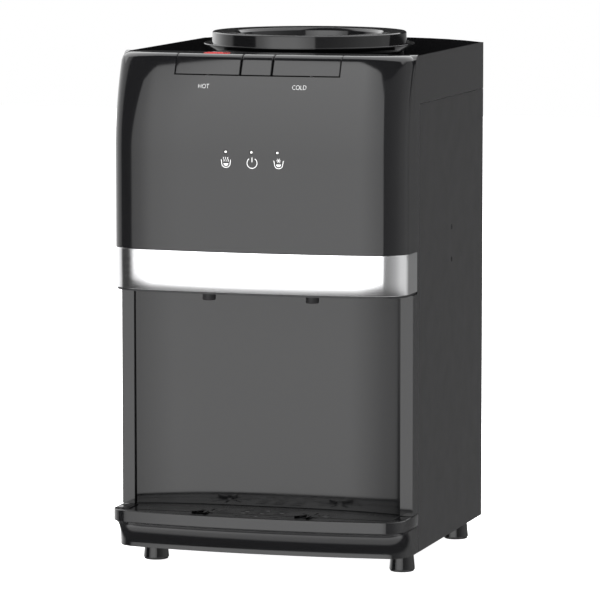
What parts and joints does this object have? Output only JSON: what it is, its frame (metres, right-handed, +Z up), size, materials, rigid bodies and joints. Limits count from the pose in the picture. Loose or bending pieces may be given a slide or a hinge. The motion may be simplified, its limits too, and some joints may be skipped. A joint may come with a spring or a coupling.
{
  "type": "countertop water dispenser",
  "caption": "Countertop hot and cold water dispenser with a bottle seat on top, push keys over a lit fascia, a chrome band, a cup space and a pull-out drip tray.",
  "frame": {"origin": "middle of the footprint, on the surface that the feet stand on", "axes": "+Z up; -Y out of the front, where the keys and the drip tray are; +X to the right of somebody who looks at the front"},
  "size_m": [0.3, 0.3242, 0.5274],
  "materials": {
    "gloss_black": "gloss",
    "satin_black": "satin",
    "black_steel": "satin",
    "chrome": "polished",
    "stainless": "satin",
    "aluminium": "satin",
    "white_plastic": "satin",
    "red_plastic": "gloss",
    "clear_lens": "gloss",
    "foam": "matte",
    "board": "satin",
    "rubber": "matte",
    "silicone": "satin",
    "mica": "matte",
    "ceramic": "matte"
  },
  "bodies": {
    "cabinet": {"main_frame": "gloss_black", "upper_fascia": "gloss_black", "chrome_band": "chrome", "head_floor": "satin_black", "splash_panel": "gloss_black", "base_skirt": "gloss_black", "base_pan": "satin_black", "side_panel_left": "black_steel", "side_panel_right": "black_steel", "rear_panel": "black_steel", "foot_front_left": "gloss_black", "foot_front_right": "gloss_black", "foot_rear_left": "gloss_black", "foot_rear_right": "gloss_black", "probe": "white_plastic", "tank_lid": "white_plastic", "cold_tank": "stainless", "cold_insulation": "foam", "tank_shelf": "stainless", "cold_block": "aluminium", "peltier_module": "ceramic", "heat_sink": "aluminium", "fan_frame": "satin_black", "fan_guard": "black_steel", "hot_tank": "stainless", "heater_band": "mica", "hot_insulation": "foam", "thermostat": "satin_black", "tank_stand": "stainless", "power_board": "board", "lamp_board": "board", "hot_light_pipe": "clear_lens", "power_light_pipe": "clear_lens", "cold_light_pipe": "clear_lens", "centre_cap": "gloss_black", "hot_tap": "satin_black", "cold_tap": "satin_black", "hot_spring": "stainless", "cold_spring": "stainless", "hot_switch": "satin_black", "cold_switch": "satin_black", "cord_gland": "rubber", "drain_fitting": "satin_black", "drain_pipe": "stainless", "cold_hose": "silicone", "hot_hose": "silicone", "feed_hose": "silicone"},
    "hot_key": {"hot_key": "gloss_black"},
    "cold_key": {"cold_key": "gloss_black"},
    "child_lock": {"child_lock": "red_plastic"},
    "hot_push_rod": {"hot_push_rod": "white_plastic"},
    "cold_push_rod": {"cold_push_rod": "white_plastic"},
    "bottle_seat": {"bottle_seat": "gloss_black"},
    "drip_tray": {"drip_tray": "gloss_black"},
    "drip_grille": {"drip_grille": "satin_black"},
    "fan_rotor": {"fan_rotor": "satin_black"},
    "hot_rocker": {"hot_rocker": "red_plastic"},
    "cold_rocker": {"cold_rocker": "satin_black"},
    "drain_cap": {"drain_cap": "rubber"}
  },
  "joints": [
    {"name": "hot_key_press", "type": "hinge", "parent": "cabinet", "child": "hot_key", "pos_m": [-0.053, -0.09865, 0.5105], "axis": [1, 0, 0], "range_deg": [0, 4.5], "stiffness_Nm_per_rad": 0.45, "springref_deg": -8.59},
    {"name": "cold_key_press", "type": "hinge", "parent": "cabinet", "child": "cold_key", "pos_m": [0.053, -0.09865, 0.5105], "axis": [1, 0, 0], "range_deg": [0, 4.5], "stiffness_Nm_per_rad": 0.45, "springref_deg": -8.59},
    {"name": "hot_rod_slide", "type": "slide", "parent": "cabinet", "child": "hot_push_rod", "axis": [0, 0, -1], "range_m": [0, 0.0025], "deforming": ["hot_spring"]},
    {"name": "cold_rod_slide", "type": "slide", "parent": "cabinet", "child": "cold_push_rod", "axis": [0, 0, -1], "range_m": [0, 0.0025], "deforming": ["cold_spring"]},
    {"name": "child_lock_slide", "type": "slide", "parent": "hot_key", "child": "child_lock", "axis": [0, 1, 0], "range_m": [0, 0.006]},
    {"name": "seat_turn", "type": "hinge", "parent": "cabinet", "child": "bottle_seat", "pos_m": [0, 0.04135, 0.5], "axis": [0, 0, 1], "range_deg": [0, 25]},
    {"name": "tray_slide", "type": "slide", "parent": "cabinet", "child": "drip_tray", "axis": [0, -1, 0], "range_m": [0, 0.09]},
    {"name": "grille_lift", "type": "slide", "parent": "drip_tray", "child": "drip_grille", "axis": [0, 0, 1], "range_m": [0, 0.03]},
    {"name": "fan_spin", "type": "hinge", "parent": "cabinet", "child": "fan_rotor", "pos_m": [0, 0.13885, 0.385], "axis": [0, 1, 0], "continuous": true},
    {"name": "hot_rocker_tilt", "type": "hinge", "parent": "cabinet", "child": "hot_rocker", "pos_m": [-0.095, 0.14935, 0.15], "axis": [1, 0, 0], "range_deg": [0, 16]},
    {"name": "cold_rocker_tilt", "type": "hinge", "parent": "cabinet", "child": "cold_rocker", "pos_m": [-0.06, 0.14935, 0.15], "axis": [1, 0, 0], "range_deg": [0, 16]},
    {"name": "drain_cap_pull", "type": "slide", "parent": "cabinet", "child": "drain_cap", "axis": [0, 1, 0], "range_m": [0, 0.02]}
  ],
  "couplings": [
    {"joint": "hot_rod_slide", "follows": "hot_key_press", "m_per_rad": 0.027},
    {"joint": "cold_rod_slide", "follows": "cold_key_press", "m_per_rad": 0.027}
  ]
}
